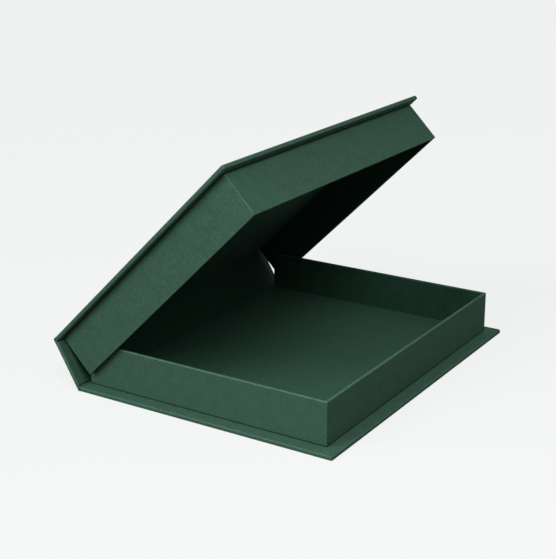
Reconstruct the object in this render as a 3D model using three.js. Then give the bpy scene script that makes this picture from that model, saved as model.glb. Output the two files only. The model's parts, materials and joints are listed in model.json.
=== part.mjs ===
// Clamshell box: a case of three covered boards (base, spine and lid) with a shallow
// open tray glued inside the base and a wider one inside the lid.
// The lid tray closes over the base tray, and both trays are open towards the spine.
// Millimetres. +Z is up, +Y runs along the spine from tail to head, +X runs from the spine
// to the fore edge. The origin is the middle of the base board's underside.

import * as THREE from 'three';

// Case boards, measured over their covering cloth
const boardWidth = 250;
const boardLength = 317;
const boardThickness = 3.8;
const boardEdgeRadius = 1.1;
const boardCornerRadius = 2;

// Trays
const baseTrayMargin = 11.6;
const baseWallHeight = 38.2;
const wallThickness = 2.6;
const trayFloorThickness = 2.3;
const wallEdgeRadius = 0.5;
const glueLine = 0.3;

// How the closed box nests
const sideNestingClearance = 2.8;
const foreNestingClearance = 1.4;
const closedHeadroom = 0.8;
const lidRimClearance = 2.1;

// Spine and its cloth joints
const jointClothThickness = 0.5;
const jointSlack = 0.5;
const clothEndSetback = 0.4;
const linerThickness = 0.5;
const linerEndMargin = 8;
const linerRunningGap = 0.4;

// How far the box stands open, in degrees
const spineTilt = 30.5;
const lidOpening = 14;

// Sizes that follow from the ones above
const spineHeight = 2 * boardThickness + baseWallHeight + closedHeadroom + trayFloorThickness + glueLine;
const lidWallHeight = spineHeight - 2 * boardThickness - lidRimClearance;
const baseTrayMargins = { side: baseTrayMargin, fore: baseTrayMargin };
const lidTrayMargins = {
  side: baseTrayMargin - wallThickness - sideNestingClearance,
  fore: baseTrayMargin - wallThickness - foreNestingClearance,
};
const pivotOffset = jointClothThickness + jointSlack;
const spineBoardStart = boardThickness + jointSlack;
const spineBoardHeight = spineHeight - 2 * spineBoardStart;
const spineBoardThickness = boardThickness - jointClothThickness - glueLine;
const linerFace = boardThickness + glueLine + linerThickness;
const trayStart = linerFace + linerRunningGap - pivotOffset;

const clothFinish = { roughness: 0.78, metalness: 0 };
const caseColour = '#3f5a4b';
const trayColour = '#34493d';
const liningColour = '#2b3f34';

// A flat slab with rounded corners and edges, its thickness along Z, centred on the origin.
function roundedSlab(length, breadth, thickness, edgeRadius, cornerRadius) {
  const halfLength = length / 2 - edgeRadius;
  const halfBreadth = breadth / 2 - edgeRadius;
  const radius = Math.max(cornerRadius - edgeRadius, edgeRadius / 4);
  const outline = new THREE.Shape();
  outline.moveTo(-halfLength + radius, -halfBreadth);
  outline.lineTo(halfLength - radius, -halfBreadth);
  outline.absarc(halfLength - radius, -halfBreadth + radius, radius, -Math.PI / 2, 0, false);
  outline.lineTo(halfLength, halfBreadth - radius);
  outline.absarc(halfLength - radius, halfBreadth - radius, radius, 0, Math.PI / 2, false);
  outline.lineTo(-halfLength + radius, halfBreadth);
  outline.absarc(-halfLength + radius, halfBreadth - radius, radius, Math.PI / 2, Math.PI, false);
  outline.lineTo(-halfLength, -halfBreadth + radius);
  outline.absarc(-halfLength + radius, -halfBreadth + radius, radius, Math.PI, 1.5 * Math.PI, false);
  const slab = new THREE.ExtrudeGeometry(outline, {
    depth: thickness - 2 * edgeRadius,
    bevelThickness: edgeRadius,
    bevelSize: edgeRadius,
    bevelSegments: 3,
    curveSegments: 3,
  });
  slab.translate(0, 0, edgeRadius - thickness / 2);
  return slab;
}

// Names a mesh and moves its geometry so that it fills the stated range on each axis.
// The thin axis of a covered board is the one its thickness lies along.
function coveredBoard(name, thinAxis, low, high, edgeRadius, cornerRadius, colour) {
  const size = high.clone().sub(low);
  let slab;
  if (thinAxis === 'x') {
    slab = roundedSlab(size.z, size.y, size.x, edgeRadius, cornerRadius);
    slab.rotateY(Math.PI / 2);
  } else if (thinAxis === 'y') {
    slab = roundedSlab(size.x, size.z, size.y, edgeRadius, cornerRadius);
    slab.rotateX(Math.PI / 2);
  } else {
    slab = roundedSlab(size.x, size.y, size.z, edgeRadius, cornerRadius);
  }
  const mesh = new THREE.Mesh(slab, new THREE.MeshStandardMaterial({ color: colour, ...clothFinish }));
  mesh.name = name;
  mesh.position.copy(low).add(high).multiplyScalar(0.5);
  return mesh;
}

function caseBoard(name, start) {
  const low = new THREE.Vector3(start, -boardLength / 2, 0);
  const high = new THREE.Vector3(start + boardWidth, boardLength / 2, boardThickness);
  return coveredBoard(name, 'z', low, high, boardEdgeRadius, boardCornerRadius, caseColour);
}

// A tray: a floor with a wall at each side and one at the fore edge, standing on a case board
// whose spine edge is at start. It is built upright, as in the base. lowSide and highSide
// name the walls at its -Y and +Y sides, and margins says how far in the walls stand.
function tray(prefix, floorName, lowSide, highSide, start, margins, wallHeight) {
  const parts = new THREE.Group();
  const spineEnd = start + trayStart;
  const foreOutside = start + boardWidth - margins.fore;
  const foreInside = foreOutside - wallThickness;
  const sideOutside = boardLength / 2 - margins.side;
  const sideInside = sideOutside - wallThickness;
  const foot = boardThickness + glueLine;
  const rim = boardThickness + wallHeight;

  function wall(side, thinAxis, low, high) {
    const name = `${prefix}_${side}_wall`;
    return coveredBoard(name, thinAxis, low, high, wallEdgeRadius, wallEdgeRadius, trayColour);
  }

  parts.add(coveredBoard(
    `${prefix}_${floorName}`,
    'z',
    new THREE.Vector3(spineEnd, -sideInside + glueLine, foot),
    new THREE.Vector3(foreInside - glueLine, sideInside - glueLine, foot + trayFloorThickness),
    wallEdgeRadius,
    wallEdgeRadius,
    liningColour,
  ));
  parts.add(wall(
    lowSide,
    'y',
    new THREE.Vector3(spineEnd, -sideOutside, foot),
    new THREE.Vector3(foreInside - glueLine, -sideInside, rim),
  ));
  parts.add(wall(
    highSide,
    'y',
    new THREE.Vector3(spineEnd, sideInside, foot),
    new THREE.Vector3(foreInside - glueLine, sideOutside, rim),
  ));
  parts.add(wall(
    'fore',
    'x',
    new THREE.Vector3(foreInside, -sideOutside, foot),
    new THREE.Vector3(foreOutside, sideOutside, rim),
  ));
  return parts;
}

function baseParts() {
  const base = new THREE.Group();
  base.add(caseBoard('base_board', -boardWidth / 2));
  base.add(tray('base_tray', 'floor', 'tail', 'head', -boardWidth / 2, baseTrayMargins, baseWallHeight));
  return base;
}

// The lid is built upright about its pivot line, then turned over end for end, so that its
// tray hangs below its board and its tail wall comes to the box's tail.
function lidParts() {
  const lid = new THREE.Group();
  lid.add(caseBoard('lid_board', pivotOffset));
  lid.add(tray('lid_tray', 'panel', 'head', 'tail', pivotOffset, lidTrayMargins, lidWallHeight));
  lid.rotation.x = Math.PI;
  return lid;
}

// The spine stands on its lower pivot line: its outer cloth, its board and the cloth liner
// between the trays, from outside to inside.
function spineParts() {
  const spine = new THREE.Group();
  const halfLength = boardLength / 2;
  const linerHalf = halfLength - linerEndMargin;
  spine.add(coveredBoard(
    'spine_cloth',
    'x',
    new THREE.Vector3(0, -halfLength, clothEndSetback),
    new THREE.Vector3(jointClothThickness, halfLength, spineHeight - clothEndSetback),
    jointClothThickness / 4,
    boardCornerRadius,
    caseColour,
  ));
  spine.add(coveredBoard(
    'spine_board',
    'x',
    new THREE.Vector3(boardThickness - spineBoardThickness, -halfLength, spineBoardStart),
    new THREE.Vector3(boardThickness, halfLength, spineBoardStart + spineBoardHeight),
    wallEdgeRadius,
    boardCornerRadius,
    caseColour,
  ));
  spine.add(coveredBoard(
    'spine_liner',
    'x',
    new THREE.Vector3(linerFace - linerThickness, -linerHalf, spineBoardStart),
    new THREE.Vector3(linerFace, linerHalf, spineBoardStart + spineBoardHeight),
    linerThickness / 4,
    wallEdgeRadius,
    liningColour,
  ));
  return spine;
}

const lidPivot = new THREE.Group();
lidPivot.position.z = spineHeight;
lidPivot.rotation.y = -THREE.MathUtils.degToRad(lidOpening);
lidPivot.add(lidParts());

const spinePivot = new THREE.Group();
spinePivot.position.x = -boardWidth / 2 - pivotOffset;
spinePivot.rotation.y = -THREE.MathUtils.degToRad(spineTilt);
spinePivot.add(spineParts());
spinePivot.add(lidPivot);

const box = new THREE.Group();
box.add(baseParts());
box.add(spinePivot);

export default box;
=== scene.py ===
import json
import math

import bmesh
import bpy
import numpy as np
from mathutils import Matrix, Vector


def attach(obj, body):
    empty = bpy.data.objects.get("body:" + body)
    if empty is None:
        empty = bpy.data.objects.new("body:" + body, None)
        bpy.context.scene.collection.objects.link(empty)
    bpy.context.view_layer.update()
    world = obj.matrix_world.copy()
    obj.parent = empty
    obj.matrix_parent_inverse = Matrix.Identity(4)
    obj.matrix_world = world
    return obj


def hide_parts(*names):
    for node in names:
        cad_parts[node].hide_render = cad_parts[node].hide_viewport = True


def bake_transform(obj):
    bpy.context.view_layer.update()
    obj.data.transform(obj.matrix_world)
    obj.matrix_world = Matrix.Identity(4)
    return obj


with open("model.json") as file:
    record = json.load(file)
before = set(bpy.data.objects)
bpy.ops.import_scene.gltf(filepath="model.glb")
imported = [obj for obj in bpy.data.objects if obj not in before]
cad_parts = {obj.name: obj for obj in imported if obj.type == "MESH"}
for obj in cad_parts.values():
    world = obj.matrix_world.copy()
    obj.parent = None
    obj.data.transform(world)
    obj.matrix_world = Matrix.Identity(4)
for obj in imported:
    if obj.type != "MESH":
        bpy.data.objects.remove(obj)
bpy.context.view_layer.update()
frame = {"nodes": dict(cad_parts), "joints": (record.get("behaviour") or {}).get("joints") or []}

# Metres throughout. The box stands partly open: base, spine and lid are three cloth-covered
# boards, and a tray is glued inside the base and inside the lid.
MM = 0.001

# The camera of the photograph, whose frame is 556 by 559 pixels. Angles are in degrees.
FRAME_LONG_SIDE = 559
FOCAL_PIXELS = 1312.7
CENTRE_OFFSET_PIXELS = (0.9, 5.5)
CAMERA_PLACE = (0.57351, -0.93454, 0.4526)
CAMERA_AZIMUTH = 32.642
CAMERA_DEPRESSION = 19.132
CAMERA_ROLL = -0.297
CAMERA_RANGE = (0.01, 100)
SENSOR_WIDTH = 36

# The boards: their roundings, and how far a piece keeps off the next or reaches into it
CASE_EDGE_RADIUS = 1.15 * MM
CASE_CORNER_RADIUS = 2.0 * MM
SPINE_OUTER_RADIUS = 0.5 * MM
SPINE_END_RADIUS = 0.7 * MM
SPINE_END_CLEARANCE = 0.25 * MM
LINER_EDGE_RADIUS = 0.2 * MM
LINER_CORNER_RADIUS = 1.0 * MM
LINER_TUCK = 0.35 * MM

# The trays
WALL_CORNER_RADIUS = 0.9 * MM
WALL_INNER_RADIUS = 0.5 * MM
WALL_END_RADIUS = 0.35 * MM
WALL_END_REACH = 0.2 * MM
RIM_RADIUS = 0.75 * MM
OUTER_FOOT_RADIUS = 1.15 * MM
INNER_FOOT_RADIUS = 0.35 * MM
FLOOR_EDGE_RADIUS = 0.4 * MM
FLOOR_CORNER_RADIUS = 0.6 * MM
FLOOR_TUCK = 0.4 * MM

# The fold of cloth at a joint. A place is its distance from the hinge line, into the board
# first and then away from the board's outer face.
FOLD_ARC_RADIUS = 2.4 * MM
FOLD_LAP_PAST_EDGE = 1.2 * MM
FOLD_LAP_BOTTOM = 0.02 * MM
FOLD_LAP_TOP = 0.5 * MM
FOLD_AT_BOARD_EDGE = (1.1 * MM, 0.7 * MM)
FOLD_EDGE_RADIUS = 0.2 * MM
FOLD_WAIST = (0.98 * MM, 2.2 * MM)
FOLD_WAIST_RADIUS = 0.5 * MM
FOLD_WIDTH = 2.3 * MM
FOLD_TOP_RADIUS = 0.3 * MM
FOLD_TOP_CLEARANCE = 0.1 * MM
FOLD_END_RADIUS = 0.15 * MM
FOLD_END_SETBACK = 0.15 * MM

# Where the fold meets the spine: depth in from the spine's outer face, then height along it
FOLD_INSIDE_SPINE = (1.3 * MM, 4.3 * MM)
FOLD_OUTSIDE_SPINE = (0.12 * MM, 4.75 * MM)
FOLD_SPINE_RADIUS = 0.1 * MM

# Mesh lines: their spacing on flat faces, and the place of the first ones beside a rounding,
# in its radii or as a length
MESH_SPACING = 6 * MM
SUPPORT_REACH = 1.35
FOOT_SUPPORT_REACH = 1.6
CORNER_LEAD = 0.6 * MM
SAME_LINE_DIGITS = 7
WALL_ROWS = 9

# Steps round a quarter turn
ARC_STEPS = 4
FINE_ARC_STEPS = 8
INNER_FOOT_STEPS = 2

# A rounded corner of an outline takes up to this share of each side beside it, and one whose
# half angle is this near to a right angle, in radians, is left as it is
LARGEST_SETBACK_SHARE = 0.48
STRAIGHT_TOLERANCE = 0.02

WELD_DISTANCE = 0.003 * MM
TINY = 1e-12

# How rubbed the cloth is: 0 on a face and 1 on a worn edge, below 0 in the recess at a foot.
# The pale edges are wear with painted highlight, and the dark recess is painted shade.
PLAN_CORNER_WEAR_AND_HIGHLIGHT = 0.6
WALL_CORNER_WEAR_AND_HIGHLIGHT = 0.45
WALL_CORNER_WEAR_AND_HIGHLIGHT_DEPTH = 0.3 * MM
RIM_WEAR_AND_HIGHLIGHT = 0.35
END_WEAR_AND_HIGHLIGHT_GAIN = 1.4
END_FACE_WEAR_AND_HIGHLIGHT = 0.4
PAINTED_RECESS_SHADE_FADE = 0.75

# The cloth's colours, the linings darkened as painted shade, and how strongly each cloth shows its
# rubbed edges and their painted highlight
OUTER_COLOUR = (0.041, 0.099, 0.068)
# The linings are the outer cloth made darker: painted shade, darkest on the walls and in the lid
SHADED_FLOOR_COLOUR = (0.032, 0.088, 0.059)
SHADED_WALL_LINING_COLOUR = (0.02, 0.06, 0.039)
SHADED_LID_LINING_COLOUR = (0.018, 0.054, 0.035)
# Paler cloth on edges, rims and corners: wear, with painted highlight
EDGE_WEAR_AND_HIGHLIGHT_COLOUR = (0.12, 0.23, 0.17)
CASE_WEAR_AND_HIGHLIGHT = 0.42
TRAY_WEAR_AND_HIGHLIGHT = 0.62
FLOOR_WEAR_AND_HIGHLIGHT = 0.2
WALL_LINING_WEAR_AND_HIGHLIGHT = 0.5
LID_LINING_WEAR_AND_HIGHLIGHT = 0.0
# Painted shade: how dark the cloth is made in the recess at a wall's foot
PAINTED_RECESS_SHADE_TONE = 0.12

# The cloth's surface. Each noise is its scale, detail and roughness.
CLOTH_SPECULAR = 0.08
SHEEN_WEIGHT = 0.03
SHEEN_ROUGHNESS = 0.45
SHEEN_TINT = (0.75, 0.9, 0.82, 1)
THREADS_PER_METRE = 2100
WAVE_BANDS_PER_UNIT = 20 / (2 * math.pi)
THREAD_DISTORTION = 0.6
THREAD_DETAIL = 1.0
THREAD_DETAIL_SCALE = 0.5
THREAD_TONE = (0.93, 1.06)
WEAVE_ROUGHNESS = (0.86, 0.74)
SPECKLE_NOISE = (620.0, 3.0, 0.65)
SPECKLE_TONE = (0.8, 1.2)
CLOUD_NOISE = (95.0, 2.0, 0.5)
CLOUD_TONE = (0.94, 1.06)
WEAR_AND_HIGHLIGHT_NOISE = (180.0, 2.0, 0.6)
WEAR_AND_HIGHLIGHT_SHARE = (0.55, 1.0)
FIBRE_NOISE = (900.0, 3.0, 0.6)
NOISE_RANGE = (0.3, 0.7)
WEAVE_RELIEF = 0.6
FIBRE_RELIEF = 0.8
RELIEF_STRENGTH = 0.35
RELIEF_DEPTH = 0.2 * MM

# Floor and sky. They are pale where they are seen and send little light to the box.
BACKGROUND = (0.905, 0.922, 0.922)
FLOOR_BOUNCE = (0.1, 0.1, 0.1)
FLOOR_GLOW_SHARE = 0.88
FLOOR_ROUGHNESS = 0.9
FLOOR_REACH = 30.0
FLOOR_DROP = 0.05 * MM
SKY_AT_HORIZON = 0.07
SKY_OVERHEAD = 0.37

# The key lamp shines from the front left. Azimuth 0 is the tail side and 90 the fore edge.
KEY_AZIMUTH = -30
KEY_ELEVATION = 32
KEY_STRENGTH = 2.0
KEY_SPREAD = 35

# The fill is a soft box above the front right
FILL_PLACE = (0.43, -0.63, 0.84)
FILL_AIM = (0.02, 0.0, 0.15)
FILL_SIZE = 0.45
FILL_POWER = 6.6

# The two colour inputs and the colour output among a mix node's sockets
MIX_FIRST = 6
MIX_SECOND = 7
MIX_RESULT = 2


# Frames of the three boards at rest, worked out from the joints

joints = {joint["name"]: joint for joint in frame["joints"]}
lower_pivot = Vector(joints["spine_hinge"]["pos_m"])
upper_pivot = Vector(joints["lid_hinge"]["pos_m"])
spine_tilt = -math.radians(joints["spine_hinge"]["range_deg"][0])
lid_opening = -math.radians(joints["lid_hinge"]["range_deg"][0])
spine_height = (upper_pivot - lower_pivot).length

# Each has its hinge line as its origin, X across the hinge and Z away from the outer face
base_frame = Matrix.Translation(lower_pivot)
spine_frame = base_frame @ Matrix.Rotation(-spine_tilt, 4, "Y")
lid_frame = (
    Matrix.Translation(upper_pivot)
    @ Matrix.Rotation(-spine_tilt - lid_opening, 4, "Y")
    @ Matrix.Rotation(math.pi, 4, "X")
)


def own_box(node, matrix):
    """Lowest and highest corner of a CAD node in its board's own frame."""
    inverse = matrix.inverted()
    corners = [inverse @ vertex.co for vertex in frame["nodes"][node].data.vertices]
    low = Vector(min(corner[axis] for corner in corners) for axis in range(3))
    high = Vector(max(corner[axis] for corner in corners) for axis in range(3))
    return low, high


# The lid's board is the same size as the base's
board_low, board_high = own_box("base_board", base_frame)


# Meshes. A shape is its points, its faces, the two coordinates for the cloth at each face's
# corners, and how rubbed each point is: its wear and painted highlight, or painted shade at a foot.


def lines_between(low, high, radii):
    """Mesh lines along one axis: fine where the ends are rounded, and evenly spaced between."""
    turns = [1 - math.tan(math.pi / 4 * step / ARC_STEPS) for step in range(ARC_STEPS + 1)]
    near = sorted({round(radius * turn, SAME_LINE_DIGITS) for radius in radii for turn in turns})
    support = SUPPORT_REACH * max(radii)
    count = max(1, round((high - low - 2 * support) / MESH_SPACING))
    middle = np.linspace(low + support, high - support, count + 1)
    return np.array([low + gap for gap in near] + list(middle) + [high - gap for gap in reversed(near)])


def running_lengths(points):
    """Distance of each point from the first one, along the line through all of them."""
    steps = np.linalg.norm(np.diff(np.array(points), axis=0), axis=1)
    return np.concatenate([[0.0], np.cumsum(steps)])


def other_axes(axis):
    return [other for other in range(3) if other != axis]


def block_surface(lines):
    """The six sides of a block with those mesh lines along its axes: its points, its quads
    and the axis that each quad faces along."""
    numbers = {}
    points = []

    def number_of(place):
        if place not in numbers:
            numbers[place] = len(points)
            points.append([line[step] for line, step in zip(lines, place)])
        return numbers[place]

    quads = []
    facing = []
    for axis in range(3):
        first, second = other_axes(axis)
        for end in (0, len(lines[axis]) - 1):
            for a in range(len(lines[first]) - 1):
                for b in range(len(lines[second]) - 1):
                    quad = []
                    for a_step, b_step in ((0, 0), (1, 0), (1, 1), (0, 1)):
                        place = [end, end, end]
                        place[first] = a + a_step
                        place[second] = b + b_step
                        quad.append(number_of(tuple(place)))
                    quads.append(quad)
                    facing.append(axis)
    return np.array(points), quads, facing


def rounded_pair(first, second, radius):
    """Carries the square zone past a corner's centre over to a round one, and says how near
    each point of it is to the corner's middle."""
    outside = (first > 0) & (second > 0)
    reach = np.maximum(first, second)
    length = np.hypot(first, second)
    scale = np.where(outside & (length > 0), reach / np.maximum(length, TINY), 1.0)
    share = np.where(outside, np.minimum(first, second) / np.maximum(reach, TINY), 0.0)
    return first * scale, second * scale, share * np.clip(reach / radius, 0, 1)


def rounded_over(square, low, high, corner_radius, edge_radius):
    """Moves the points of a square slab, thin along the last axis, on to one with rounded
    corners and edges, and says how rubbed each is, which sets its wear and painted highlight."""
    centre = (low + high) / 2
    inner = (high - low) / 2 - np.array([corner_radius, corner_radius, edge_radius])
    sign = np.where(square < centre, -1.0, 1.0)
    past = np.abs(square - centre) - inner

    # Corners first, seen along the thin axis
    in_corner = (past[:, 0] > 0) & (past[:, 1] > 0)
    x_past, y_past, corner_share = rounded_pair(past[:, 0], past[:, 1], corner_radius)
    plan = np.where(in_corner, np.hypot(x_past, y_past), np.maximum(x_past, y_past))

    # Then the edge all round
    straight = corner_radius - edge_radius
    new_plan, z_past, edge_share = rounded_pair(plan - straight, past[:, 2], edge_radius)
    in_edge = (plan > straight) & (past[:, 2] > 0)
    ratio = np.where(in_edge, (new_plan + straight) / np.maximum(plan, TINY), 1.0)
    x_new = np.where(in_corner | (x_past >= y_past), x_past * ratio, x_past)
    y_new = np.where(in_corner | (y_past > x_past), y_past * ratio, y_past)
    points = centre + sign * (inner + np.stack([x_new, y_new, z_past], axis=1))
    return points, np.clip(np.maximum(edge_share, PLAN_CORNER_WEAR_AND_HIGHLIGHT * corner_share), 0, 1)


def rounded_slab(low, high, thin, corner_radius, edge_radius):
    """The shape of a slab with rounded corners and edges, thin along that axis."""
    order = other_axes(thin) + [thin]
    low = np.array([low[axis] for axis in order])
    high = np.array([high[axis] for axis in order])
    both_radii = (corner_radius, edge_radius)
    radii = (both_radii, both_radii, (edge_radius,))
    lines = [lines_between(low[axis], high[axis], radii[axis]) for axis in range(3)]
    square, quads, facing = block_surface(lines)
    cloth = [[tuple(square[v][other_axes(axis)]) for v in quad] for quad, axis in zip(quads, facing)]
    rounded, wear_highlight_and_shade = rounded_over(square, low, high, corner_radius, edge_radius)
    points = np.empty_like(rounded)
    points[:, order] = rounded
    return points, quads, cloth, wear_highlight_and_shade


def rounded_polygon(corners):
    """Points round a polygon given as (x, z, radius), each corner rounded, with the share
    of each point in its corner's rounding."""
    points = []
    shares = []
    for i, (x, z, radius) in enumerate(corners):
        here = np.array([x, z])
        before = np.array(corners[i - 1][:2]) - here
        after = np.array(corners[(i + 1) % len(corners)][:2]) - here
        before_length = np.linalg.norm(before)
        after_length = np.linalg.norm(after)
        before = before / before_length
        after = after / after_length
        half_angle = math.acos(float(np.clip(before @ after, -1, 1))) / 2
        if radius <= 0 or half_angle > math.pi / 2 - STRAIGHT_TOLERANCE:
            points.append(here)
            shares.append(0.0)
            continue
        largest_setback = LARGEST_SETBACK_SHARE * min(before_length, after_length)
        setback = min(radius / math.tan(half_angle), largest_setback)
        real_radius = setback * math.tan(half_angle)
        bisector = (before + after) / np.linalg.norm(before + after)
        centre = here + bisector * real_radius / math.sin(half_angle)
        start = here + before * setback - centre
        end = here + after * setback - centre
        first = math.atan2(start[1], start[0])
        turn = math.atan2(start[0] * end[1] - start[1] * end[0], start @ end)
        for step in range(ARC_STEPS + 1):
            angle = first + turn * step / ARC_STEPS
            points.append(centre + real_radius * np.array([math.cos(angle), math.sin(angle)]))
            shares.append(math.sin(math.pi * step / ARC_STEPS))
    return np.array(points), np.array(shares)


def inward_directions(outline):
    """The direction into a closed outline at each of its points."""
    before = np.roll(outline, 1, axis=0)
    after = np.roll(outline, -1, axis=0)
    area = np.sum(outline[:, 0] * after[:, 1] - after[:, 0] * outline[:, 1])
    tangent = after - before
    tangent = tangent / np.maximum(np.linalg.norm(tangent, axis=1), TINY)[:, None]
    return np.stack([-tangent[:, 1], tangent[:, 0]], axis=1) * np.sign(area)


def end_inset(depth, radius):
    """How far the sides of a rounded end stand in, at that depth from its tip."""
    if depth >= radius:
        return 0.0
    return radius - math.sqrt(max(radius**2 - (radius - depth) ** 2, 0.0))


def tube(along, outline):
    """Faces and their cloth coordinates for rings of points in the outline's order, one ring
    at each distance along the piece, with a face over each end."""
    count = len(outline)
    around = running_lengths([*outline, outline[0]])
    faces = []
    cloth = []
    for row in range(len(along) - 1):
        here = row * count
        there = here + count
        for i in range(count):
            j = (i + 1) % count
            faces.append((here + i, here + j, there + j, there + i))
            places = ((row, i), (row, i + 1), (row + 1, i + 1), (row + 1, i))
            cloth.append([(along[a], around[b]) for a, b in places])
    for row in (0, len(along) - 1):
        faces.append([row * count + i for i in range(count)])
        cloth.append([tuple(point) for point in outline])
    return faces, cloth


def bar(corners, low_y, high_y, end_radius):
    """The shape of a long piece with that cross-section in X and Z, its ends rounded over."""
    outline, shares = rounded_polygon(corners)
    inward = inward_directions(outline)
    lines = lines_between(low_y, high_y, (end_radius,))
    points = []
    wear_highlight_and_shade = []
    for y in lines:
        inset = end_inset(min(y - low_y, high_y - y), end_radius)
        points += [(x, y, z) for x, z in outline + inward * inset]
        # The rounded ends pale as wear with painted highlight
        end_wear_and_highlight = END_FACE_WEAR_AND_HIGHLIGHT if inset >= end_radius else min(1.0, END_WEAR_AND_HIGHLIGHT_GAIN * inset / end_radius)
        wear_highlight_and_shade += list(np.maximum(shares, end_wear_and_highlight))
    faces, cloth = tube(lines, outline)
    return points, faces, cloth, wear_highlight_and_shade


def make_piece(name, shape, matrix, materials, face_materials=None):
    """A smooth-shaded mesh object, from a shape in its board's own frame."""
    points, faces, cloth, wear_highlight_and_shade = shape
    mesh = bpy.data.meshes.new(name)
    mesh.from_pydata([tuple(point) for point in points], [], [tuple(face) for face in faces])
    layer = mesh.uv_layers.new(name="cloth")
    flat = [pair for face in cloth for pair in face]
    layer.data.foreach_set("uv", np.array(flat, np.float32).ravel())
    # The edge attribute carries wear with painted highlight, and painted shade at a foot
    attribute = mesh.attributes.new("edge", "FLOAT", "POINT")
    attribute.data.foreach_set("value", np.asarray(wear_highlight_and_shade, np.float32))
    for material in materials:
        mesh.materials.append(material)
    if face_materials is not None:
        mesh.polygons.foreach_set("material_index", np.array(face_materials, np.int32))
    mesh.polygons.foreach_set("use_smooth", np.ones(len(faces), bool))
    mesh.transform(matrix)
    work = bmesh.new()
    work.from_mesh(mesh)
    bmesh.ops.remove_doubles(work, verts=work.verts, dist=WELD_DISTANCE)
    bmesh.ops.dissolve_degenerate(work, edges=work.edges, dist=WELD_DISTANCE)
    bmesh.ops.recalc_face_normals(work, faces=work.faces)
    if work.calc_volume(signed=True) < 0:
        bmesh.ops.reverse_faces(work, faces=work.faces)
    work.to_mesh(mesh)
    work.free()
    mesh.update()
    piece = bpy.data.objects.new(name, mesh)
    bpy.context.scene.collection.objects.link(piece)
    return piece


# Materials


def feed(tree, socket, value):
    """Links another node's output to a socket, or sets the socket to a plain number."""
    if isinstance(value, bpy.types.NodeSocket):
        tree.links.new(value, socket)
    else:
        socket.default_value = value


def maths(tree, operation, first, second):
    step = tree.nodes.new("ShaderNodeMath")
    step.operation = operation
    feed(tree, step.inputs[0], first)
    feed(tree, step.inputs[1], second)
    return step.outputs["Value"]


def ranged(tree, value, from_range, to_range):
    """Carries a value from one range over to another."""
    step = tree.nodes.new("ShaderNodeMapRange")
    for name, bound in zip(("From Min", "From Max", "To Min", "To Max"), (*from_range, *to_range)):
        step.inputs[name].default_value = bound
    tree.links.new(value, step.inputs["Value"])
    return step.outputs["Result"]


def colour_mix(tree, factor, first, second):
    """The first colour where the factor is nought and the second where it is one."""
    mix = tree.nodes.new("ShaderNodeMix")
    mix.data_type = "RGBA"
    mix.inputs[MIX_FIRST].default_value = (*first, 1)
    mix.inputs[MIX_SECOND].default_value = (*second, 1)
    tree.links.new(factor, mix.inputs["Factor"])
    return mix.outputs[MIX_RESULT]


def shader_mix(tree, factor, first, second):
    """The first shader where the factor is nought and the second where it is one."""
    mix = tree.nodes.new("ShaderNodeMixShader")
    tree.links.new(factor, mix.inputs["Fac"])
    tree.links.new(first, mix.inputs[1])
    tree.links.new(second, mix.inputs[2])
    return mix.outputs["Shader"]


def noise(tree, place, kind):
    texture = tree.nodes.new("ShaderNodeTexNoise")
    for name, value in zip(("Scale", "Detail", "Roughness"), kind):
        texture.inputs[name].default_value = value
    tree.links.new(place, texture.inputs["Vector"])
    return texture.outputs["Fac"]


def threads(tree, place, direction):
    """Fine parallel threads along one direction of the cloth."""
    wave = tree.nodes.new("ShaderNodeTexWave")
    wave.bands_direction = direction
    wave.inputs["Scale"].default_value = THREADS_PER_METRE / WAVE_BANDS_PER_UNIT
    wave.inputs["Distortion"].default_value = THREAD_DISTORTION
    wave.inputs["Detail"].default_value = THREAD_DETAIL
    wave.inputs["Detail Scale"].default_value = THREAD_DETAIL_SCALE
    tree.links.new(place, wave.inputs["Vector"])
    return wave.outputs["Fac"]


def plain_weave(tree):
    """Threads both ways, on the cloth's own coordinates."""
    coordinates = tree.nodes.new("ShaderNodeUVMap")
    coordinates.uv_map = "cloth"
    place = coordinates.outputs["UV"]
    both = maths(tree, "ADD", threads(tree, place, "X"), threads(tree, place, "Y"))
    return maths(tree, "MULTIPLY", both, 0.5)


def dyed_cloth(tree, solid, weave, colour, wear_and_highlight_strength):
    """The dye, mottled and speckled, with painted shade in the recess at a foot, and paler at the edges
    from wear and painted highlight.
    """
    speckle = ranged(tree, noise(tree, solid, SPECKLE_NOISE), NOISE_RANGE, SPECKLE_TONE)
    cloud = ranged(tree, noise(tree, solid, CLOUD_NOISE), NOISE_RANGE, CLOUD_TONE)
    tone = maths(tree, "MULTIPLY", speckle, cloud)
    tone = maths(tree, "MULTIPLY", tone, ranged(tree, weave, (0.0, 1.0), THREAD_TONE))

    edge = tree.nodes.new("ShaderNodeAttribute")
    edge.attribute_name = "edge"
    # Painted shade in the recess at a wall's foot
    painted_recess_shade = ranged(tree, edge.outputs["Fac"], (-1.0, 0.0), (PAINTED_RECESS_SHADE_TONE, 1.0))
    tone = maths(tree, "MULTIPLY", tone, painted_recess_shade)

    # Paler edges: wear with painted highlight
    uneven = ranged(tree, noise(tree, solid, WEAR_AND_HIGHLIGHT_NOISE), NOISE_RANGE, WEAR_AND_HIGHLIGHT_SHARE)
    worn_and_highlit = maths(tree, "MULTIPLY", maths(tree, "MAXIMUM", edge.outputs["Fac"], 0.0), uneven)
    worn_and_highlit = maths(tree, "MULTIPLY", worn_and_highlit, wear_and_highlight_strength)

    toned = tree.nodes.new("ShaderNodeVectorMath")
    toned.operation = "SCALE"
    tree.links.new(colour_mix(tree, worn_and_highlit, colour, EDGE_WEAR_AND_HIGHLIGHT_COLOUR), toned.inputs[0])
    tree.links.new(tone, toned.inputs["Scale"])
    return toned.outputs["Vector"]


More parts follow.
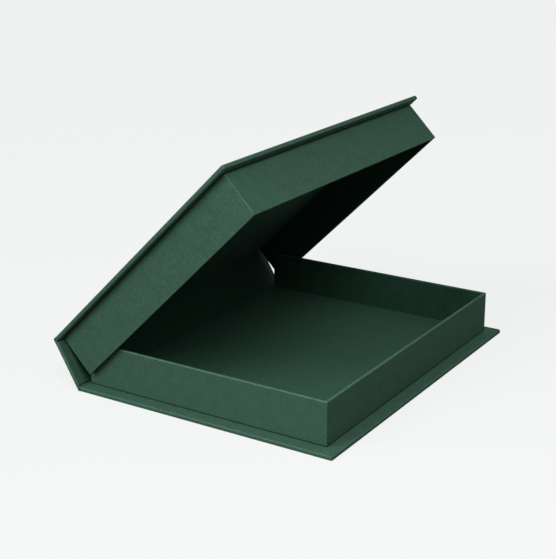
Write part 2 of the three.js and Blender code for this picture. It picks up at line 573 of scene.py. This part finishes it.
def cloth_relief(tree, solid, weave):
    """The bump of the threads and of their fibres."""
    fibre = maths(tree, "MULTIPLY", noise(tree, solid, FIBRE_NOISE), FIBRE_RELIEF)
    relief = maths(tree, "ADD", maths(tree, "MULTIPLY", weave, WEAVE_RELIEF), fibre)
    bump = tree.nodes.new("ShaderNodeBump")
    bump.inputs["Strength"].default_value = RELIEF_STRENGTH
    bump.inputs["Distance"].default_value = RELIEF_DEPTH
    tree.links.new(relief, bump.inputs["Height"])
    return bump.outputs["Normal"]


def book_cloth(name, colour, wear_and_highlight_strength):
    """Fine book cloth: a plain weave too small to read from a step away, a soft mottle of
    its dye, and paler threads where it is drawn over an edge, part wear and part painted highlight."""
    material = bpy.data.materials.new(name)
    material.use_nodes = True
    tree = material.node_tree
    shader = tree.nodes["Principled BSDF"]
    shader.inputs["Specular IOR Level"].default_value = CLOTH_SPECULAR
    shader.inputs["Sheen Weight"].default_value = SHEEN_WEIGHT
    shader.inputs["Sheen Roughness"].default_value = SHEEN_ROUGHNESS
    shader.inputs["Sheen Tint"].default_value = SHEEN_TINT
    solid = tree.nodes.new("ShaderNodeTexCoord").outputs["Object"]
    weave = plain_weave(tree)
    tree.links.new(dyed_cloth(tree, solid, weave, colour, wear_and_highlight_strength), shader.inputs["Base Color"])
    tree.links.new(ranged(tree, weave, (0.0, 1.0), WEAVE_ROUGHNESS), shader.inputs["Roughness"])
    tree.links.new(cloth_relief(tree, solid, weave), shader.inputs["Normal"])
    return material


case_cloth = book_cloth("case_cloth", OUTER_COLOUR, CASE_WEAR_AND_HIGHLIGHT)
tray_cloth = book_cloth("tray_cloth", OUTER_COLOUR, TRAY_WEAR_AND_HIGHLIGHT)
# Darker copies of the cloth for the linings: painted shade
shaded_floor_cloth = book_cloth("shaded_floor_cloth", SHADED_FLOOR_COLOUR, FLOOR_WEAR_AND_HIGHLIGHT)
shaded_wall_lining = book_cloth("shaded_wall_lining", SHADED_WALL_LINING_COLOUR, WALL_LINING_WEAR_AND_HIGHLIGHT)
shaded_lid_lining = book_cloth("shaded_lid_lining", SHADED_LID_LINING_COLOUR, LID_LINING_WEAR_AND_HIGHLIGHT)


# The case


def case_board(name, node, body, matrix):
    """The base's or the lid's board, wrapped in its cloth."""
    low, high = own_box(node, matrix)
    shape = rounded_slab(low, high, 2, CASE_CORNER_RADIUS, CASE_EDGE_RADIUS)
    piece = make_piece(name, shape, matrix, [case_cloth])
    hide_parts(node)
    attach(piece, body)


def spine_piece():
    """The spine board in its cloth, between the two joints."""
    low, high = own_box("spine_board", spine_frame)
    outer_x = own_box("spine_cloth", spine_frame)[0].x
    bottom = board_high.z + SPINE_END_CLEARANCE
    top = spine_height - bottom
    corners = [
        (outer_x, bottom, SPINE_OUTER_RADIUS),
        (high.x, bottom, CASE_EDGE_RADIUS),
        (high.x, top, CASE_EDGE_RADIUS),
        (outer_x, top, SPINE_OUTER_RADIUS),
    ]
    shape = bar(corners, low.y, high.y, SPINE_END_RADIUS)
    piece = make_piece("spine_case_board", shape, spine_frame, [case_cloth])
    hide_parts("spine_board", "spine_cloth")
    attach(piece, "spine")


def spine_liner():
    """The strip of cloth glued to the spine's inner face."""
    low, high = own_box("spine_liner", spine_frame)
    low.x -= LINER_TUCK
    shape = rounded_slab(low, high, 0, LINER_CORNER_RADIUS, LINER_EDGE_RADIUS)
    piece = make_piece("spine_lining", shape, spine_frame, [shaded_wall_lining])
    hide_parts("spine_liner")
    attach(piece, "spine")


def joint_cloth(name, matrix, opening):
    """The fold of covering cloth at a joint, in the frame of the board that it joins to the
    spine. Z runs up from the board's outer face, and the spine leans away by opening."""

    def on_spine(place):
        depth, height = place
        x = depth * math.cos(opening) - height * math.sin(opening)
        z = depth * math.sin(opening) + height * math.cos(opening)
        return x, z, FOLD_SPINE_RADIUS

    lap_end = CASE_EDGE_RADIUS + FOLD_LAP_PAST_EDGE
    corners = [
        (lap_end, FOLD_LAP_BOTTOM, 0.0),
        (lap_end, FOLD_LAP_TOP, 0.0),
        (*FOLD_AT_BOARD_EDGE, FOLD_EDGE_RADIUS),
        (*FOLD_WAIST, FOLD_WAIST_RADIUS),
        (FOLD_WIDTH, board_high.z + FOLD_TOP_CLEARANCE, FOLD_TOP_RADIUS),
        on_spine(FOLD_INSIDE_SPINE),
        on_spine(FOLD_OUTSIDE_SPINE),
        (0.0, 0.0, FOLD_ARC_RADIUS),
    ]
    low_y = board_low.y + FOLD_END_SETBACK
    shape = bar(corners, low_y, -low_y, FOLD_END_RADIUS)
    piece = make_piece(name, shape, matrix, [case_cloth])
    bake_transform(piece)


case_board("base_case_board", "base_board", "base", base_frame)
case_board("lid_case_board", "lid_board", "lid", lid_frame)
spine_piece()
spine_liner()
joint_cloth("lower_joint_cloth", base_frame, spine_tilt)
joint_cloth("upper_joint_cloth", lid_frame, lid_opening)


# The two trays


def corner_stations(outer_centre, inner_centre, first_angle):
    """Stations round one corner of a tray's walls."""
    stations = []
    for step in range(FINE_ARC_STEPS + 1):
        angle = first_angle + math.pi / 2 * step / FINE_ARC_STEPS
        direction = Vector((math.cos(angle), math.sin(angle)))
        outer = Vector(outer_centre) + WALL_CORNER_RADIUS * direction
        inner = Vector(inner_centre) + WALL_INNER_RADIUS * direction
        stations.append((tuple(outer), tuple(inner), math.sin(math.pi * step / FINE_ARC_STEPS)))
    return stations


def wall_stations(low, high, wall):
    """Stations along the U of a tray's walls, from one spine end to the other. Each is a
    place on the outer face, the one across from it on the inner face, and its share in a
    corner's rounding."""
    outer_x = high.x - WALL_CORNER_RADIUS
    inner_x = high.x - wall - WALL_INNER_RADIUS
    side_x = lines_between(low.x, inner_x - MESH_SPACING, (WALL_END_RADIUS,))
    first_y = low.y + wall + WALL_INNER_RADIUS
    lead_y = first_y + CORNER_LEAD
    fore_y = np.linspace(lead_y, -lead_y, round(-2 * lead_y / MESH_SPACING) + 1)

    stations = [((x, low.y), (x, low.y + wall), 0.0) for x in side_x]
    stations.append(((outer_x - CORNER_LEAD, low.y), (inner_x - CORNER_LEAD, low.y + wall), 0.0))
    stations += corner_stations((outer_x, low.y + WALL_CORNER_RADIUS), (inner_x, first_y), -math.pi / 2)
    stations += [((high.x, y), (high.x - wall, y), 0.0) for y in fore_y]
    last_y = high.y - wall - WALL_INNER_RADIUS
    stations += corner_stations((outer_x, high.y - WALL_CORNER_RADIUS), (inner_x, last_y), 0.0)
    stations.append(((outer_x - CORNER_LEAD, high.y), (inner_x - CORNER_LEAD, high.y - wall), 0.0))
    stations += [((x, high.y), (x, high.y - wall), 0.0) for x in reversed(side_x)]
    return stations


def quarter(radius, turn):
    """How far a rounding stands in from the two faces that it joins, at that share of it."""
    angle = math.pi / 2 * turn
    return radius * (1 - math.cos(angle)), radius * (1 - math.sin(angle))


def wall_section(wall, foot, rim):
    """The section of a tray's wall, from its outer foot over its rim to its inner foot. Each
    point is its distance in from the outer face, its height, how rubbed it is (painted highlight
    on the rim, painted shade below nought at the outer foot) and whether it is on the inner face."""
    section = []
    # The outer foot is darkened as painted shade
    for step in range(ARC_STEPS + 1):
        turn = step / ARC_STEPS
        rise, across = quarter(OUTER_FOOT_RADIUS, turn)
        section.append((across, foot + rise, PAINTED_RECESS_SHADE_FADE * turn - 1, False))
    lowest = foot + FOOT_SUPPORT_REACH * OUTER_FOOT_RADIUS
    heights = np.linspace(lowest, rim - SUPPORT_REACH * RIM_RADIUS, WALL_ROWS)
    section += [(0.0, height, 0.0, False) for height in heights]
    # The rim pales as wear with painted highlight
    for step in range(FINE_ARC_STEPS + 1):
        turn = step / FINE_ARC_STEPS
        across, drop = quarter(RIM_RADIUS, turn)
        section.append((across, rim - drop, RIM_WEAR_AND_HIGHLIGHT + (1 - RIM_WEAR_AND_HIGHLIGHT) * math.sin(math.pi * turn), False))
    section.append((wall / 2, rim, RIM_WEAR_AND_HIGHLIGHT, False))
    for step in reversed(range(FINE_ARC_STEPS + 1)):
        turn = step / FINE_ARC_STEPS
        across, drop = quarter(RIM_RADIUS, turn)
        section.append((wall - across, rim - drop, RIM_WEAR_AND_HIGHLIGHT * math.sin(math.pi / 2 * turn), step == 0))
    section += [(wall, height, 0.0, True) for height in reversed(heights)]
    for step in reversed(range(INNER_FOOT_STEPS + 1)):
        rise, across = quarter(INNER_FOOT_RADIUS, step / INNER_FOOT_STEPS)
        section.append((wall - across, foot + rise, 0.0, True))
    return section


def tray_walls(low, high, wall):
    """The shape of a tray's three walls as one covered piece, open at the spine side, and
    which of its faces are inner ones. low and high are its outside corners in its board's
    own frame, and wall is the walls' thickness."""
    section = wall_section(wall, low.z, high.z)
    stations = wall_stations(low, high, wall)
    points = []
    wear_highlight_and_shade = []
    for outer, inner, bend in stations:
        side = Vector(inner) - Vector(outer)
        inset = end_inset(outer[0] - low.x, WALL_END_RADIUS)
        for across, height, own_wear_highlight_and_shade, _ in section:
            inwards = min(max(across, inset), wall - inset)
            place = Vector(outer) + side * (inwards / wall)
            points.append((place.x, place.y, min(max(height, low.z + inset), high.z - inset)))
            # The outer corners pale as wear with painted highlight
            corner_wear_and_highlight = WALL_CORNER_WEAR_AND_HIGHLIGHT * bend * max(0.0, 1 - across / WALL_CORNER_WEAR_AND_HIGHLIGHT_DEPTH)
            worn_and_highlit = min(1.0, max(own_wear_highlight_and_shade, corner_wear_and_highlight, inset / WALL_END_RADIUS))
            wear_highlight_and_shade.append(own_wear_highlight_and_shade if own_wear_highlight_and_shade < 0 else worn_and_highlit)
    along = running_lengths([outer for outer, inner, bend in stations])
    faces, cloth = tube(along, [point[:2] for point in section])
    on_inside = [point[3] for point in section]
    ring = [here and after for here, after in zip(on_inside, on_inside[1:] + on_inside[:1])]
    two_ends = [False, False]
    inner_faces = ring * (len(stations) - 1) + two_ends
    return (points, faces, cloth, wear_highlight_and_shade), inner_faces


def tray(prefix, floor_node, body, matrix, floor_material, wall_material):
    """A tray's walls as one covered piece, and its floor."""
    walls = [f"{prefix}_{side}_wall" for side in ("tail", "head", "fore")]
    boxes = [own_box(node, matrix) for node in walls]
    low = Vector(min(box[0][axis] for box in boxes) for axis in range(3))
    high = Vector(max(box[1][axis] for box in boxes) for axis in range(3))
    fore_low, fore_high = boxes[2]
    low.x -= WALL_END_REACH
    shape, inner_faces = tray_walls(low, high, fore_high.x - fore_low.x)
    shell = make_piece(f"{prefix}_walls", shape, matrix, [tray_cloth, wall_material], inner_faces)
    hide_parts(*walls)
    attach(shell, body)

    floor_low, floor_high = own_box(floor_node, matrix)
    floor_low.y -= FLOOR_TUCK
    floor_high += Vector((FLOOR_TUCK, FLOOR_TUCK, 0))
    shape = rounded_slab(floor_low, floor_high, 2, FLOOR_CORNER_RADIUS, FLOOR_EDGE_RADIUS)
    floor = make_piece(f"{prefix}_lining", shape, matrix, [floor_material])
    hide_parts(floor_node)
    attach(floor, body)


tray("base_tray", "base_tray_floor", "base", base_frame, shaded_floor_cloth, shaded_wall_lining)
tray("lid_tray", "lid_tray_panel", "lid", lid_frame, shaded_lid_lining, shaded_lid_lining)


# Floor, light and camera


def seen_directly(tree):
    """One where the camera, a mirror or a glass sees a surface, and nought for other light."""
    path = tree.nodes.new("ShaderNodeLightPath")
    seen = maths(tree, "MAXIMUM", path.outputs["Is Camera Ray"], path.outputs["Is Glossy Ray"])
    return maths(tree, "MAXIMUM", seen, path.outputs["Is Transmission Ray"])


def studio_floor():
    """A wide pale floor that the box stands on. It keeps the box's soft shadow, and sends
    little light back up, as in the photograph."""
    mesh = bpy.data.meshes.new("studio_floor")
    signs = ((-1, -1), (1, -1), (1, 1), (-1, 1))
    corners = [(x * FLOOR_REACH, y * FLOOR_REACH, -FLOOR_DROP) for x, y in signs]
    mesh.from_pydata(corners, [], [(0, 1, 2, 3)])
    floor = bpy.data.objects.new("studio_floor", mesh)
    bpy.context.scene.collection.objects.link(floor)
    material = bpy.data.materials.new("studio_floor")
    material.use_nodes = True
    tree = material.node_tree
    shader = tree.nodes["Principled BSDF"]
    shader.inputs["Roughness"].default_value = FLOOR_ROUGHNESS
    shader.inputs["Specular IOR Level"].default_value = 0.0
    seen = seen_directly(tree)
    tree.links.new(colour_mix(tree, seen, FLOOR_BOUNCE, BACKGROUND), shader.inputs["Base Color"])
    glow = tree.nodes.new("ShaderNodeEmission")
    glow.inputs["Color"].default_value = (*BACKGROUND, 1)
    glow.inputs["Strength"].default_value = 1.0
    share = maths(tree, "MULTIPLY", seen, FLOOR_GLOW_SHARE)
    surface = shader_mix(tree, share, shader.outputs["BSDF"], glow.outputs["Emission"])
    tree.links.new(surface, tree.nodes["Material Output"].inputs["Surface"])
    mesh.materials.append(material)


def key_lamp():
    data = bpy.data.lights.new("key_lamp", "SUN")
    data.energy = KEY_STRENGTH
    data.angle = math.radians(KEY_SPREAD)
    lamp = bpy.data.objects.new("key_lamp", data)
    turn = Matrix.Rotation(math.radians(KEY_AZIMUTH), 4, "Z")
    tip = Matrix.Rotation(math.radians(90 - KEY_ELEVATION), 4, "X")
    lamp.matrix_world = turn @ tip
    bpy.context.scene.collection.objects.link(lamp)


def fill_lamp():
    data = bpy.data.lights.new("fill_lamp", "AREA")
    data.energy = FILL_POWER
    data.size = FILL_SIZE
    lamp = bpy.data.objects.new("fill_lamp", data)
    away = Vector(FILL_PLACE) - Vector(FILL_AIM)
    turn = away.to_track_quat("Z", "Y").to_matrix().to_4x4()
    lamp.matrix_world = Matrix.Translation(FILL_PLACE) @ turn
    bpy.context.scene.collection.objects.link(lamp)


def world_light():
    """Soft light from above that weakens towards the horizon, with a pale backdrop."""
    world = bpy.data.worlds.new("studio")
    bpy.context.scene.world = world
    world.use_nodes = True
    tree = world.node_tree
    place = tree.nodes.new("ShaderNodeTexCoord")
    height = tree.nodes.new("ShaderNodeSeparateXYZ")
    tree.links.new(place.outputs["Generated"], height.inputs["Vector"])
    light = tree.nodes["Background"]
    light.inputs["Color"].default_value = (1, 1, 1, 1)
    strength = ranged(tree, height.outputs["Z"], (0.0, 1.0), (SKY_AT_HORIZON, SKY_OVERHEAD))
    tree.links.new(strength, light.inputs["Strength"])
    backdrop = tree.nodes.new("ShaderNodeBackground")
    backdrop.inputs["Color"].default_value = (*BACKGROUND, 1)
    backdrop.inputs["Strength"].default_value = 1.0
    seen = seen_directly(tree)
    surface = shader_mix(tree, seen, light.outputs["Background"], backdrop.outputs["Background"])
    tree.links.new(surface, tree.nodes["World Output"].inputs["Surface"])


def photo_camera():
    data = bpy.data.cameras.new("photo_camera")
    data.sensor_width = SENSOR_WIDTH
    data.lens = FOCAL_PIXELS * SENSOR_WIDTH / FRAME_LONG_SIDE
    data.shift_x = CENTRE_OFFSET_PIXELS[0] / FRAME_LONG_SIDE
    data.shift_y = CENTRE_OFFSET_PIXELS[1] / FRAME_LONG_SIDE
    data.clip_start, data.clip_end = CAMERA_RANGE
    camera = bpy.data.objects.new("photo_camera", data)
    camera.matrix_world = (
        Matrix.Translation(CAMERA_PLACE)
        @ Matrix.Rotation(math.radians(CAMERA_AZIMUTH), 4, "Z")
        @ Matrix.Rotation(math.radians(90 - CAMERA_DEPRESSION), 4, "X")
        @ Matrix.Rotation(math.radians(CAMERA_ROLL), 4, "Z")
    )
    bpy.context.scene.collection.objects.link(camera)
    bpy.context.scene.camera = camera


studio_floor()
key_lamp()
fill_lamp()
world_light()
photo_camera()
bpy.context.scene.view_settings.view_transform = "Standard"
